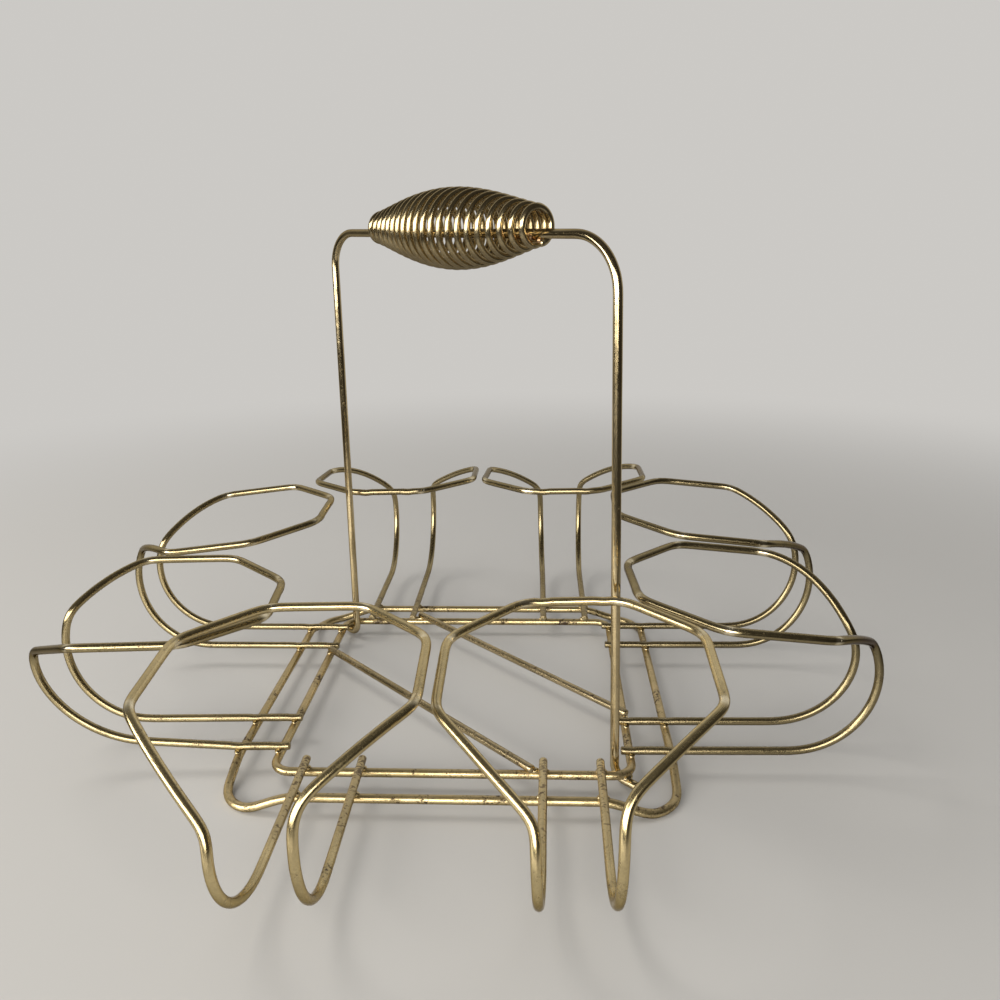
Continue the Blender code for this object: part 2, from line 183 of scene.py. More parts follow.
def sweepWire(points, thickness, closed=False, sides=0):
    # a ring of vertices is extruded from each point to the next. wirePlace is where a vertex
    # would lie if the wire were pulled straight along Z
    frames = wireFrames(points, closed)
    wire = bmesh.new()
    wirePlace = wire.verts.layers.float_vector.new("wirePlace")
    sides = sides or wireDetail["sides"]
    ring = bmesh.ops.create_circle(wire, segments=sides, radius=thickness / 2)["verts"]
    for vert in ring:
        vert[wirePlace] = vert.co
    bmesh.ops.transform(wire, matrix=frames[0], verts=ring)
    firstRim = wire.edges[:]
    rim = firstRim
    length = 0.0
    for before, after in zip(frames, frames[1:]):
        made = bmesh.ops.extrude_edge_only(wire, edges=rim)["geom"]
        ring = [item for item in made if isinstance(item, bmesh.types.BMVert)]
        ringSet = set(ring)
        rim = [item for item in made if isinstance(item, bmesh.types.BMEdge)
               and ringSet.issuperset(item.verts)]
        bmesh.ops.transform(wire, matrix=after @ before.inverted(), verts=ring)
        length += (after.translation - before.translation).length
        for vert in ring:
            vert[wirePlace] = (vert[wirePlace].x, vert[wirePlace].y, length)
    if closed:
        bmesh.ops.bridge_loops(wire, edges=rim + firstRim)
    else:
        for edges in (firstRim, rim):
            bmesh.ops.holes_fill(wire, edges=edges, sides=0)
        bmesh.ops.bevel(wire, geom=firstRim + rim, offset=wireDetail["endRound"], offset_type="OFFSET",
                        affect="EDGES", segments=wireDetail["endSteps"], profile=0.5, material=-1)
    bmesh.ops.recalc_face_normals(wire, faces=wire.faces)
    return wire


def finishPiece(name, shape, material, replaced=()):
    # turns a bmesh into a piece that rides with the carrier
    mesh = bpy.data.meshes.new(name)
    shape.to_mesh(mesh)
    shape.free()
    mesh.shade_smooth()
    mesh.materials.append(material)
    piece = bpy.data.objects.new(name, mesh)
    bpy.context.scene.collection.objects.link(piece)
    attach(piece, "root")
    if replaced:
        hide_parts(*replaced)
    print(f"{name}: {len(mesh.polygons)} faces")


# a socket in a material is fed a number, a colour or another node's output
colourMix = {"inputs": (0, 6, 7), "output": 2}     # a Mix node's sockets when it blends colours


def addNode(tree, kind, **settings):
    made = tree.nodes.new(kind)
    for key, setting in settings.items():
        setattr(made, key, setting)
    return made


def feed(socket, value):
    if isinstance(value, float):
        socket.default_value = value
    elif isinstance(value, tuple):
        socket.default_value = (*value, 1.0)
    else:
        socket.id_data.links.new(value, socket)


def onAxis(vector, axis):
    made = addNode(vector.id_data, "ShaderNodeSeparateXYZ")
    feed(made.inputs["Vector"], vector)
    return made.outputs[axis]


def stretched(place, scales):
    made = addNode(place.id_data, "ShaderNodeMapping")
    made.inputs["Scale"].default_value = scales
    feed(made.inputs["Vector"], place)
    return made.outputs["Vector"]


def grain(place, scale, detail, roughness):
    made = addNode(place.id_data, "ShaderNodeTexNoise")
    feed(made.inputs["Vector"], place)
    for socket, value in (("Scale", scale), ("Detail", detail), ("Roughness", roughness)):
        feed(made.inputs[socket], value)
    return made.outputs["Fac"]


def spread(value, low, high, lowTo=0.0, highTo=1.0):
    # eases from lowTo to highTo while the value goes from low to high
    made = addNode(value.id_data, "ShaderNodeMapRange", interpolation_type="SMOOTHSTEP")
    feed(made.inputs["Value"], value)
    for socket, number in zip(("From Min", "From Max", "To Min", "To Max"), (low, high, lowTo, highTo)):
        feed(made.inputs[socket], number)
    return made.outputs["Result"]


def combine(kind, first, second=0.0):
    # either of the two may be a number
    tree = second.id_data if isinstance(first, float) else first.id_data
    made = addNode(tree, "ShaderNodeMath", operation=kind)
    feed(made.inputs[0], first)
    feed(made.inputs[1], second)
    return made.outputs["Value"]


def blend(share, first, second):
    made = addNode(share.id_data, "ShaderNodeMix", data_type="RGBA")
    for index, value in zip(colourMix["inputs"], (share, first, second)):
        feed(made.inputs[index], value)
    return made.outputs[colourMix["output"]]


def bump(height, strength, distance):
    made = addNode(height.id_data, "ShaderNodeBump")
    for socket, value in (("Height", height), ("Strength", strength), ("Distance", distance)):
        feed(made.inputs[socket], value)
    return made


def dimmed(colour, share):
    return tuple(part * share for part in colour)


# finishes: lacquered brass plate over steel wire. light and deep are its two tones, edge its tint
# at grazing angles, tarnish the colour of its brown spots. tarnishShare and wear are how much it is
# tarnished and pitted, and rough is how rough it is. The two shares after wear are a dull tan film on
# upper sides, which is partly painted shading of the tops, and painted shade that darkens undersides
finishes = {
    "frameBrass": {
        "light": (0.87, 0.69, 0.37), "deep": (0.62, 0.49, 0.24), "edge": (0.40, 0.31, 0.18),
        "tarnish": (0.085, 0.055, 0.030), "tarnishShare": 0.41,
        "wear": 1.0, "dullShadeShare": 0.40, "under": 0.50, "rough": 0.25,
    },
    "braceBrass": {
        "light": (0.74, 0.60, 0.36), "deep": (0.46, 0.37, 0.20), "edge": (0.38, 0.30, 0.17),
        "tarnish": (0.075, 0.050, 0.030), "tarnishShare": 0.39,
        "wear": 0.8, "dullShadeShare": 0.15, "under": 0.40, "rough": 0.20,
    },
    "handleBrass": {
        "light": (0.84, 0.69, 0.41), "deep": (0.52, 0.41, 0.22), "edge": (0.30, 0.23, 0.13),
        "tarnish": (0.085, 0.055, 0.030), "tarnishShare": 0.35,
        "wear": 0.5, "dullShadeShare": 0.05, "under": 0.45, "rough": 0.15,
    },
    "gripBrass": {
        "light": (0.80, 0.66, 0.39), "deep": (0.54, 0.43, 0.24), "edge": (0.32, 0.25, 0.14),
        "tarnish": (0.13, 0.075, 0.035), "tarnishShare": 0.33,
        "wear": 0.3, "dullShadeShare": 0.0, "under": 0.65, "rough": 0.20,
    },
    "holderBrass": {
        "light": (0.88, 0.71, 0.38), "deep": (0.62, 0.50, 0.26), "edge": (0.36, 0.29, 0.16),
        "tarnish": (0.10, 0.065, 0.035), "tarnishShare": 0.37,
        "wear": 1.0, "dullShadeShare": 0.15, "under": 0.50, "rough": 0.21,
    },
    "weldBrass": {
        "light": (0.84, 0.72, 0.46), "deep": (0.62, 0.50, 0.28), "edge": (0.60, 0.48, 0.26),
        "tarnish": (0.11, 0.07, 0.035), "tarnishShare": 0.34,
        "wear": 0.5, "dullShadeShare": 0.0, "under": 0.0, "rough": 0.22,
    },
    "brazeCopper": {
        "light": (0.72, 0.48, 0.27), "deep": (0.52, 0.32, 0.16), "edge": (0.50, 0.33, 0.18),
        "tarnish": (0.20, 0.10, 0.05), "tarnishShare": 0.36,
        "wear": 0.6, "dullShadeShare": 0.0, "under": 0.0, "rough": 0.22,
    },
}
# how the plate has aged, the same on every finish. a grain has its scale per metre, its detail and
# its roughness. a range is where a mark starts and where it is whole, and a depth is how much of
# the colour under it is left
ageing = {
    "tone": (38.0, 3.0, 0.55), "toneRange": (0.32, 0.68),      # broad drift between the two tones
    "mottle": (1500.0, 2.0, 0.6), "mottleRange": (0.25, 0.75),
    "mottleShare": 0.40, "mottleDepth": 0.72,
    "patches": (120.0, 4.0, 0.62), "patchShare": 0.55,
    "speckles": (900.0, 3.0, 0.70), "speckleShare": 0.45,
    "lowRange": (8 * mm, 30 * mm), "lowExtra": 0.035,          # more tarnish near the table
    "filmFrom": -0.10, "filmTo": 0.06,                         # thin olive film on the patches
    "filmShare": 0.60, "filmDepth": 0.50,
    "spotsFrom": 0.010, "spotsTo": 0.045,                      # brown spots in its middle
    "pits": 620.0, "pitRange": (0.26, 0.12), "pitShare": 0.75,
    "pitPatches": (0.48, 0.60),                                # pits are only in some patches
    # partly painted shading: upper sides turn a dull tan
    "dullShadeGrain": (2600.0, 2.0, 0.6), "dullShadeRange": (0.95, 1.45),       # on upper sides
    "dullShadeColour": (0.46, 0.36, 0.20),
    # painted shade: undersides are darkened, with a little grain
    "shadeBelowGrain": 0.5, "shadeBelowRange": (0.20, -0.45), "shadeBelowDepth": 0.45,      # on undersides
    "rubAndGlintRange": (0.0, 0.8), "rubAndGlintPatches": (0.42, 0.58), "rubAndGlintColour": (0.93, 0.82, 0.58),
    "dullShadeMetal": 0.40, "markMetal": 0.6,       # what dulling takes of the metal, what marks leave
    "lines": (1.0, 4.0, 0.6), "lineRange": (0.25, 0.75),       # drawn along the wire
    "lineStretch": (900.0, 900.0, 14.0),
    "smoothest": -0.05, "roughest": 0.06,                      # what the lines add to the roughness
    "filmRough": 0.14, "markRough": 0.25, "dullShadeRough": 0.22, "rubAndGlintRough": -0.10,
    "waves": (160.0, 2.0, 0.5), "waveStrength": 0.15, "waveHeight": 0.5 * mm,
    "lineRelief": 0.35, "reliefStrength": 0.22, "reliefHeight": 0.12 * mm,
    "lacquer": 0.4, "lacquerRough": 0.12,
}
# the legs at both ends of each holder's wire are dull, with nicks across them. Their dull colour on the
# upper sides is partly painted shading
legAgeing = {
    "reach": 62 * mm, "nickReach": 34 * mm,
    "dullShadeRange": (0.30, 1.10), "dullShadeShare": 0.5,
    "nicks": (1.0, 2.0, 0.5), "nickStretch": (560.0, 560.0, 900.0),
    "nickRange": (0.59, 0.66), "nickExtra": 0.10, "nickShare": 0.8,
}


def wornAndShadedLegs(straight, facing, grains, wireLength, legWearAndShade, look):
    # how dull a holder's wire is on its legs, partly painted shading of their upper sides, and the nicks
    # there
    half = wireLength / 2
    fromMiddle = combine("ABSOLUTE", combine("SUBTRACT", onAxis(straight, "Z"), half))
    onLeg = spread(fromMiddle, half - look["reach"], half - look["nickReach"])
    onLeg = combine("MULTIPLY", onLeg, legWearAndShade)
    dullShadeShare = spread(combine("ADD", facing, grains), *look["dullShadeRange"], 0.0, look["dullShadeShare"])
    nearEnd = spread(fromMiddle, half - look["nickReach"], half)
    nicks = grain(stretched(straight, look["nickStretch"]), *look["nicks"])
    nicks = combine("ADD", nicks, combine("MULTIPLY", nearEnd, look["nickExtra"]))
    nicks = combine("MULTIPLY", spread(nicks, *look["nickRange"]), onLeg)
    return combine("MULTIPLY", dullShadeShare, onLeg), combine("MULTIPLY", nicks, look["nickShare"])


def makeFinish(name, look, wireLength=0.0, legWearAndShade=0.0):
    # only the holders, whose legs are worn, give a length of wire
    material = bpy.data.materials.new(name)
    material.use_nodes = True
    tree = material.node_tree
    shader = tree.nodes["Principled BSDF"]
    feed(shader.inputs["Specular Tint"], look["edge"])
    feed(shader.inputs["Coat Weight"], ageing["lacquer"])
    feed(shader.inputs["Coat Roughness"], ageing["lacquerRough"])
    coordinates = addNode(tree, "ShaderNodeTexCoord")
    place = coordinates.outputs["Object"]
    facing = onAxis(coordinates.outputs["Normal"], "Z")
    straight = addNode(tree, "ShaderNodeAttribute", attribute_name="wirePlace").outputs["Vector"]

    # patches of tarnish with speckled edges, and small pits
    patches = grain(place, *ageing["patches"])
    speckles = grain(place, *ageing["speckles"])
    dirt = combine("ADD", combine("MULTIPLY", patches, ageing["patchShare"]),
                   combine("MULTIPLY", speckles, ageing["speckleShare"]))
    low = spread(onAxis(place, "Z"), *ageing["lowRange"], ageing["lowExtra"] * look["wear"], 0.0)
    dirt = combine("ADD", dirt, low)
    start = 1.0 - look["tarnishShare"]
    film = spread(dirt, start + ageing["filmFrom"], start + ageing["filmTo"])
    spots = spread(dirt, start + ageing["spotsFrom"], start + ageing["spotsTo"])
    pits = addNode(tree, "ShaderNodeTexVoronoi")
    feed(pits.inputs["Vector"], place)
    feed(pits.inputs["Scale"], ageing["pits"])
    pitted = spread(pits.outputs["Distance"], *ageing["pitRange"])
    pitted = combine("MULTIPLY", pitted, spread(patches, *ageing["pitPatches"]))
    marks = combine("MAXIMUM", spots, combine("MULTIPLY", pitted, ageing["pitShare"] * look["wear"]))

    # upper sides and legs have lost their shine, in fine grains, in a dull tan that is partly painted
    # shading of the tops, and bends are rubbed bright, in a pale colour that is partly a painted
    # highlight
    grains = grain(place, *ageing["dullShadeGrain"])
    dullAndShade = spread(combine("ADD", facing, grains), *ageing["dullShadeRange"], 0.0, look["dullShadeShare"])
    if wireLength:
        legDullAndShade, nicks = wornAndShadedLegs(straight, facing, grains, wireLength, legWearAndShade, legAgeing)
        dullAndShade = combine("MAXIMUM", dullAndShade, legDullAndShade)
        marks = combine("MAXIMUM", marks, nicks)
    # partly painted highlight: a pale cream colour at the ring's bends
    rubAndGlint = addNode(tree, "ShaderNodeAttribute", attribute_name="rubAndGlint").outputs["Fac"]
    rubAndGlint = combine("MULTIPLY", spread(rubAndGlint, *ageing["rubAndGlintRange"]), spread(patches, *ageing["rubAndGlintPatches"]))

    tone = spread(grain(place, *ageing["tone"]), *ageing["toneRange"])
    mottle = spread(grain(place, *ageing["mottle"]), *ageing["mottleRange"])
    olive = dimmed(look["deep"], ageing["filmDepth"])
    # painted shade: the colour is darkened on the undersides
    paintedShadeBelow = spread(combine("ADD", facing, combine("MULTIPLY", grains, ageing["shadeBelowGrain"])),
                     *ageing["shadeBelowRange"], 0.0, look["under"])
    colour = blend(tone, look["deep"], look["light"])
    colour = blend(combine("MULTIPLY", mottle, ageing["mottleShare"]), colour,
                   dimmed(look["deep"], ageing["mottleDepth"]))
    colour = blend(combine("MULTIPLY", film, ageing["filmShare"]), colour, olive)
    colour = blend(paintedShadeBelow, colour, dimmed(olive, ageing["shadeBelowDepth"]))
    # partly painted shading: a dull tan colour on upper sides and legs
    colour = blend(dullAndShade, colour, ageing["dullShadeColour"])
    colour = blend(marks, colour, look["tarnish"])
    feed(shader.inputs["Base Color"], blend(rubAndGlint, colour, ageing["rubAndGlintColour"]))

    metal = combine("SUBTRACT", 1.0, combine("MULTIPLY", dullAndShade, ageing["dullShadeMetal"]))
    metal = combine("MULTIPLY", metal, spread(marks, 0.0, 1.0, 1.0, ageing["markMetal"]))
    feed(shader.inputs["Metallic"], metal)

    lines = grain(stretched(straight, ageing["lineStretch"]), *ageing["lines"])
    rough = spread(lines, *ageing["lineRange"],
                   look["rough"] + ageing["smoothest"], look["rough"] + ageing["roughest"])
    layers = {"filmRough": film, "markRough": marks, "dullShadeRough": dullAndShade, "rubAndGlintRough": rubAndGlint}
    for extra, layer in layers.items():
        rough = combine("ADD", rough, combine("MULTIPLY", layer, ageing[extra]))
    feed(shader.inputs["Roughness"], rough)

    waves = bump(grain(place, *ageing["waves"]), ageing["waveStrength"], ageing["waveHeight"])
    relief = combine("SUBTRACT", combine("MULTIPLY", lines, ageing["lineRelief"]), marks)
    relief = bump(relief, ageing["reliefStrength"], ageing["reliefHeight"])
    feed(relief.inputs["Normal"], waves.outputs["Normal"])
    feed(shader.inputs["Normal"], relief.outputs["Normal"])
    return material


materials = {name: makeFinish(name, look) for name, look in finishes.items() if name != "holderBrass"}
print("finishes made")

# the inner frame: one wire with four rounded corners
innerFrame = {"wire": 3.2 * mm, "corner": 7.0 * mm}
innerFrame["half"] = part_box("inner_frame")[1].x - innerFrame["wire"] / 2
innerFrame["height"] = sum(corner.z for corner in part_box("inner_frame")) / 2


def makeInnerFrame(look):
    corners = [Vector((x * look["half"], y * look["half"], look["height"]))
               for x, y in ((-1, -1), (1, -1), (1, 1), (-1, 1))]
    path = filledPath(bentPath(corners, [look["corner"]] * 4, closed=True), closed=True)
    shape = sweepWire(path, look["wire"], closed=True)
    finishPiece("innerFrame", shape, materials["frameBrass"], ["inner_frame"])


makeInnerFrame(innerFrame)

# the outer frame: its corners dip to the table and are worn flat there
outerFrame = {
    "wire": 3.2 * mm, "corner": 14.0 * mm,
    "footRun": 25.0 * mm,      # along the wire, from a corner's middle to the level rail
    "footLevel": 4.0 * mm,     # from a corner's middle to where it starts to rise
    "wear": 0.3 * mm,
    "footSteps": 48,
}
outerFrame["half"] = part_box("outer_frame")[1].x - outerFrame["wire"] / 2
outerFrame["height"] = innerFrame["height"]


def footPoint(look, along):
    halfArc = look["corner"] * math.pi / 4
    turn = max(-halfArc, min(halfArc, along)) / look["corner"]
    beyond = along - turn * look["corner"]
    heading = turn - math.pi / 4
    centre = look["corner"] - look["half"]
    x = centre + look["corner"] * math.sin(heading) + beyond * math.cos(heading)
    y = centre - look["corner"] * math.cos(heading) + beyond * math.sin(heading)
    rise = (look["footRun"] - abs(along)) / (look["footRun"] - look["footLevel"])
    rise = min(1.0, max(0.0, rise))     # 0 on the level rail, 1 at the foot, and eased between
    drop = look["height"] - look["wire"] / 2 + look["wear"]
    return Vector((x, y, look["height"] - drop * rise * rise * (3 - 2 * rise)))


def makeOuterFrame(look):
    steps = look["footSteps"]
    corner = [footPoint(look, look["footRun"] * (2 * step / steps - 1)) for step in range(steps + 1)]
    points = []
    for quarter in range(4):
        turned = Matrix.Rotation(math.pi / 2 * quarter, 3, "Z")
        points += [turned @ point for point in corner]
    shape = sweepWire(filledPath(points, closed=True), look["wire"], closed=True)
    cut = bmesh.ops.bisect_plane(shape, geom=shape.verts[:] + shape.edges[:] + shape.faces[:],
                                 plane_co=(0, 0, 0), plane_no=(0, 0, -1), clear_outer=True)["geom_cut"]
    rims = [item for item in cut if isinstance(item, bmesh.types.BMEdge)]
    bmesh.ops.holes_fill(shape, edges=rims, sides=0)
    finishPiece("outerFrame", shape, materials["frameBrass"], ["outer_frame"])


makeOuterFrame(outerFrame)

# two braces, side by side with the handle's diagonal
braces = {
    "wire": 3.0 * mm,
    "nodes": {"braceFrontLeft": "brace_front_left", "braceBackRight": "brace_back_right"},
}


def makeBrace(look, name, node):
    low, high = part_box(node)
    inset = look["wire"] / 2 / math.sqrt(2)    # the cut ends stand square to the wire
    height = (low.z + high.z) / 2
    ends = [Vector((low.x + inset, high.y - inset, height)),
            Vector((high.x - inset, low.y + inset, height))]
    shape = sweepWire(filledPath(ends), look["wire"])
    finishPiece(name, shape, materials["braceBrass"], [node])
    return ends


braceEnds = [makeBrace(braces, name, node) for name, node in braces["nodes"].items()]

# the handle: one bail along the diagonal, its toes turned out under the inner frame's corners
handle = {
    "wire": 3.2 * mm,
    "weldGap": 0.3 * mm,
    "height": 183.8 * mm,      # top bar above the frames
    "inset": 1.1 * mm,
    "backLean": 2.7 * mm, "frontLean": 3.3 * mm, "tilt": 2.5 * mm,
    "backBend": 14.0 * mm, "frontBend": 18.0 * mm, "toeBend": 4.5 * mm,
    "toeReach": 4.6 * mm,
}
handle["toeDepth"] = handle["wire"] + handle["weldGap"]
handle["cornerReach"] = innerFrame["half"] * math.sqrt(2) - innerFrame["corner"] * (math.sqrt(2) - 1)
diagonalTurn = math.radians(-45)
diagonal = Matrix.Translation((0, 0, innerFrame["height"])) @ Matrix.Rotation(diagonalTurn, 4, "Z")


def handleCorners(look):
    foot = look["cornerReach"] - look["inset"] - look["toeBend"]
    toe = look["cornerReach"] + look["toeReach"]
    return [Vector((-toe, 0, -look["toeDepth"])), Vector((-foot, 0, -look["toeDepth"])),
            Vector((look["backLean"] - foot, 0, look["height"] + look["tilt"] / 2)),
            Vector((foot - look["frontLean"], 0, look["height"] - look["tilt"] / 2)),
            Vector((foot, 0, -look["toeDepth"])), Vector((toe, 0, -look["toeDepth"]))]


def barHeight(look, along):
    # the top bar slopes down a little to the front
    back, front = handleCorners(look)[2:4]
    return back.z + (front.z - back.z) / (front.x - back.x) * (along - back.x)


def makeHandle(look):
    radii = [0, look["toeBend"], look["backBend"], look["frontBend"], look["toeBend"], 0]
    path = filledPath(bentPath(handleCorners(look), radii))
    shape = sweepWire([diagonal @ point for point in path], look["wire"])
    finishPiece("handleBail", shape, materials["handleBrass"], ["handle"])


makeHandle(handle)

# the grip: a barrel shaped coil round the handle's top bar
grip = {
    "wire": 2.4 * mm, "sides": 14,
    "turns": 21, "pitch": 4.38 * mm, "shift": 1.1 * mm, "pointsPerTurn": 44,
    "closedTurns": 0.75, "closedPitch": 2.63 * mm,     # wound closer at the front end
    "backRadius": 5.1 * mm, "frontRadius": 5.8 * mm, "bellyRadius": 13.35 * mm,
    "bellyShift": 2.0 * mm, "rise": 1.6 * mm, "fullness": 1.2,
}


def coilPlace(look, turn):
    # where a turn lies along the bar, counted from the back end
    closed = max(0.0, turn - look["turns"] + look["closedTurns"])
    even = turn - closed - look["turns"] / 2
    return look["shift"] + look["pitch"] * even + look["closedPitch"] * closed


def coilPoint(look, turn):
    # the coil is wound left-handed from under the bar
    along = coilPlace(look, turn)
    fromBelly = along - look["bellyShift"]
    end = coilPlace(look, 0 if fromBelly < 0 else look["turns"]) - look["bellyShift"]
    belly = max(0.0, math.cos(math.pi / 2 * fromBelly / end))
    tip = look["backRadius"] if fromBelly < 0 else look["frontRadius"]
    radius = tip + (look["bellyRadius"] - tip) * belly ** look["fullness"]
    seat = tip - (look["wire"] + handle["wire"]) / 2 - handle["weldGap"]
    middle = barHeight(handle, along) + seat * (1 - belly) + look["rise"] * belly
    angle = 2 * math.pi * turn
    return Vector((along, -radius * math.sin(angle), middle - radius * math.cos(angle)))


def makeGrip(look):
    steps = look["turns"] * look["pointsPerTurn"]
    path = [diagonal @ coilPoint(look, look["turns"] * step / steps) for step in range(steps + 1)]
    shape = sweepWire(path, look["wire"], sides=look["sides"])
    finishPiece("gripCoil", shape, materials["gripBrass"], ["grip"])


makeGrip(grip)

# the eight holders: each one wire, up a leg, round an open eight-sided ring and down again
holder = {
    "wire": 3.0 * mm,
    "ringWidth": 79.0 * mm, "ringGap": 2.6 * mm, "ringCornerGap": 5.8 * mm,
    "innerEdge": 33.0 * mm, "sideRun": 34.8 * mm, "outerRun": 24.0 * mm,
    "outerRise": 15.0 * mm, "sideRise": 3.1 * mm, "innerRise": 0.7 * mm,
    "outerBend": 5.0 * mm, "sideBend": 9.0 * mm, "innerBend": 9.0 * mm,
    "legSpacing": 20.2 * mm, "legOverhang": 3.7 * mm,
    "bellyRadius": 29.6 * mm, "bellySweep": 117.0, "bellySteps": 30,
    "shoulderSpacing": 22.4 * mm, "firstShoulder": 5.0 * mm, "secondShoulder": 12.0 * mm,
    "bowOut": 1.6 * mm, "bowRise": 2.4 * mm, "bowSteps": 12,     # the ring's two outer edges
}
holder["offset"] = (holder["ringWidth"] + holder["wire"] + holder["ringGap"]) / 2
holder["height"] = sum(corner.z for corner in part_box("brace_front_left")) / 2
holder["sideEnd"] = (holder["offset"] + holder["ringWidth"] / 2 - outerFrame["half"]
                     + (holder["wire"] + holder["ringCornerGap"]) / math.sqrt(2))
holder["sideStart"] = holder["sideEnd"] + holder["sideRun"]
holder["shoulderReach"] = holder["sideStart"] + holder["outerRun"]

# each was bent by hand. facing: degrees round from the carrier's right. turns, in degrees: the
# holder about the vertical, its ring tipped outwards, tipped sideways and turned. moves, in belly
# radii: sideways, its belly outwards, its first and second shoulder up, its ring up. bows: shares of
# the bow that its two outer edges have. Then, of 1: how worn its legs are, in nicks and in a dull
# colour that is partly painted shading, and painted shade, the share of its plate colours kept, so
# that the holders at the sides and back look darker
handBends = {
    "FrontLeft": {
        "node": "holder_front_left", "facing": 270, "side": -1,
        "turns": (1.0, 0.0, 0.5, 0.5), "moves": (0.02, 0.12, -0.24, 0.03, 0.02), "bows": (1.1, 1.0),
        "legWearAndShade": 1.0, "paintedLightShare": 1.0,
    },
    "FrontRight": {
        "node": "holder_front_right", "facing": 270, "side": 1,
        "turns": (-0.5, -2.5, 1.5, 0.5), "moves": (0.02, -0.02, -0.20, 0.03, 0.0), "bows": (1.0, 1.0),
        "legWearAndShade": 0.9, "paintedLightShare": 1.0,
    },
    "RightFront": {
        "node": "holder_right_front", "facing": 0, "side": -1,
        "turns": (1.0, -1.5, 0.5, 2.0), "moves": (-0.04, -0.02, 0.0, -0.15, 0.0), "bows": (0.45, 1.85),
        "legWearAndShade": 0.25, "paintedLightShare": 0.52,
    },
    "RightBack": {
        "node": "holder_right_back", "facing": 0, "side": 1,
        "turns": (0.5, -0.5, 1.0, -2.0), "moves": (0.02, 0.0, 0.10, 0.07, 0.07), "bows": (0.55, 0.75),
        "legWearAndShade": 0.2, "paintedLightShare": 0.50,
    },
    "BackRight": {
        "node": "holder_back_right", "facing": 90, "side": -1,
        "turns": (0.5, 0.0, -1.0, -2.0), "moves": (-0.02, -0.02, 0.05, -0.04, 0.06), "bows": (1.35, 0.9),
        "legWearAndShade": 0.5, "paintedLightShare": 0.60,
    },
    "BackLeft": {
        "node": "holder_back_left", "facing": 90, "side": 1,
        "turns": (0.0, -0.5, -0.5, 1.5), "moves": (-0.03, 0.02, 0.02, -0.08, 0.04), "bows": (0.65, 1.85),
        "legWearAndShade": 0.6, "paintedLightShare": 0.62,
    },
    "LeftBack": {
        "node": "holder_left_back", "facing": 180, "side": -1,
        "turns": (0.0, -1.5, -1.5, 1.5), "moves": (0.07, 0.0, 0.0, 0.13, 0.0), "bows": (1.0, 0.9),
        "legWearAndShade": 0.2, "paintedLightShare": 0.70,
    },
    "LeftFront": {
        "node": "holder_left_front", "facing": 180, "side": 1,
        "turns": (2.0, 6.0, 0.0, 4.0), "moves": (0.05, -0.02, 0.07, -0.04, -0.19), "bows": (0.75, 0.0),
        "legWearAndShade": 0.35, "paintedLightShare": 0.74,
    },
}
# the left front holder's second leg was pulled open: it climbs from the outer rail, and its belly
# is larger and its shoulder sharper
openedLeg = {
    "holder": "LeftFront",
    "climb": 4.0,              # degrees
    "growth": 0.15, "reach": 0.18, "rise": -0.27,     # in belly radii
    "shoulder": 4.0 * mm,
}


def legPath(look, side, reach, rise, growth=0.0, climb=0.0):
    # from over the inner frame, outwards and round the belly to the shoulder
    gap = outerFrame["half"] - innerFrame["half"]
    height = look["bellyRadius"] * (1 - math.cos(math.radians(look["bellySweep"])))
    radius = look["bellyRadius"] * (1 + growth)
    sweep = math.acos(1 - height / radius)
    bellyStart = look["shoulderReach"] - radius * math.sin(sweep)
    leaning = Matrix.Rotation(-math.radians(climb), 3, "Y")
    points = [Vector((out, side * look["legSpacing"] / 2, 0)) for out in (-gap - look["legOverhang"], 0)]
    for step in range(look["bellySteps"] + 1):
        share = step / look["bellySteps"]
        angle = sweep * share
        out = bellyStart + radius * math.sin(angle) + reach * share ** 2
        spacing = look["legSpacing"] + (look["shoulderSpacing"] - look["legSpacing"]) * share
        up = radius * (1 - math.cos(angle)) + rise * share ** 2
        points.append(leaning @ Vector((out, side * spacing / 2, up)))
    return points


def ringHalf(look):
    half = look["ringWidth"] / 2
    halfEdge = look["innerEdge"] / 2
    up = look["bellyRadius"] * (1 - math.cos(math.radians(look["bellySweep"]))) + look["outerRise"]
    return [(Vector((look["sideStart"], half, up)), look["outerBend"]),
            (Vector((look["sideEnd"], half, up + look["sideRise"])), look["sideBend"]),
            (Vector((look["sideEnd"] - half + halfEdge, halfEdge,
                     up + look["sideRise"] + look["innerRise"])), look["innerBend"])]


def ringBends(look, reach, rise, turns):
    # the six bends of a ring, from its first side round to its second, each with its radius
    tip, roll, twist = (math.radians(degrees) for degrees in turns)
    turn = Matrix.Rotation(roll, 3, "X") @ Matrix.Rotation(-tip, 3, "Y") @ Matrix.Rotation(twist, 3, "Z")
    half = ringHalf(look)
    middle = Vector((look["sideEnd"], 0, half[1][0].z))
    lift = Vector((reach, 0, rise))
    mirrored = [(Vector((point.x, -point.y, point.z)), radius) for point, radius in half]
    return [(turn @ (point - middle) + middle + lift, radius) for point, radius in mirrored + half[::-1]]


def bowedEdge(look, shoulder, sideStart, share):
    # points between a shoulder and the start of the ring's side run, bowed most in the middle
    edge = sideStart - shoulder
    outwards = Vector((abs(edge.y), -edge.x * math.copysign(1, edge.y), 0)).normalized()
    bow = share * (look["bowOut"] * outwards + Vector((0, 0, look["bowRise"])))
    steps = [step / look["bowSteps"] for step in range(1, look["bowSteps"])]
    return [shoulder + edge * step + bow * 4 * step * (1 - step) for step in steps]


